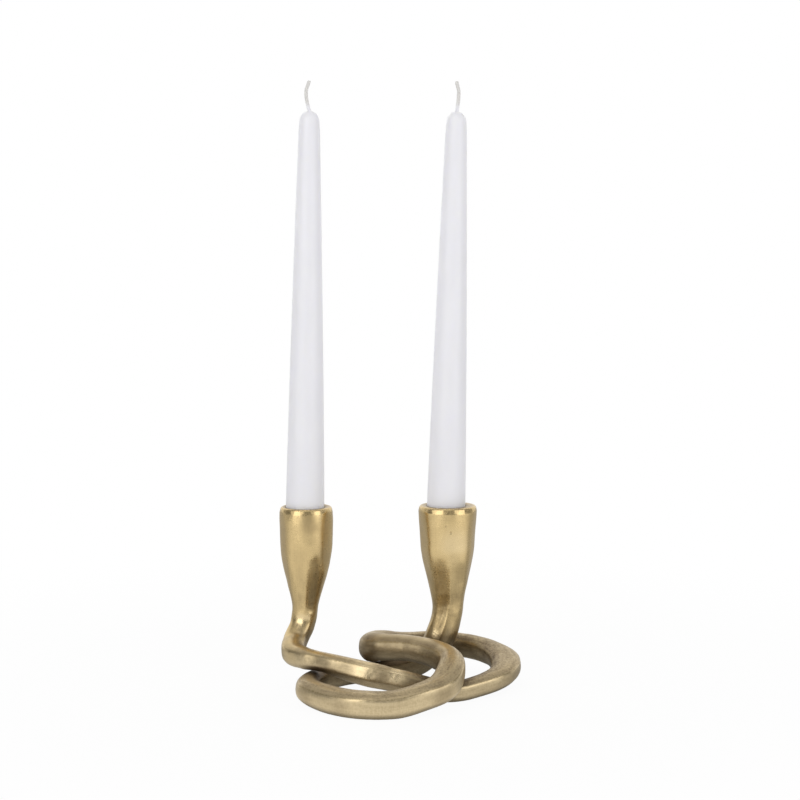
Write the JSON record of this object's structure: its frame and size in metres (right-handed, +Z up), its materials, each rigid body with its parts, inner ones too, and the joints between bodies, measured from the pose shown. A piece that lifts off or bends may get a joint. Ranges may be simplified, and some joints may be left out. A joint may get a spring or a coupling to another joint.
{
  "type": "taper candle holder",
  "caption": "Brass candle holder: a thick bar knotted into linked loops whose ends rise into cups, each with a lift-out white taper candle.",
  "frame": {"origin": "on the table, under the middle of the object's bounding box", "axes": "+Z up along the candles, -Y towards the front that the picture shows, +X to the right"},
  "size_m": [0.1392, 0.1206, 0.3444],
  "materials": {
    "brass": "satin antique brass, hand filed, with brown patina in the hollows",
    "wax": "smooth white paraffin wax",
    "cotton": "braided white cotton"
  },
  "bodies": {
    "holder": {"left_cup": "brass", "left_arm": "brass", "right_loop": "brass", "bridge": "brass", "left_loop": "brass", "right_arm": "brass", "right_cup": "brass"},
    "left_taper": {"left_candle": "wax", "left_wick": "cotton"},
    "right_taper": {"right_candle": "wax", "right_wick": "cotton"}
  },
  "joints": [
    {"name": "left_candle_lift", "type": "slide", "parent": "holder", "child": "left_taper", "axis": [0.0157, 0, 0.9999], "range_m": [0, 0.04]},
    {"name": "right_candle_lift", "type": "slide", "parent": "holder", "child": "right_taper", "axis": [0.0244, 0, 0.9997], "range_m": [0, 0.04]}
  ]
}
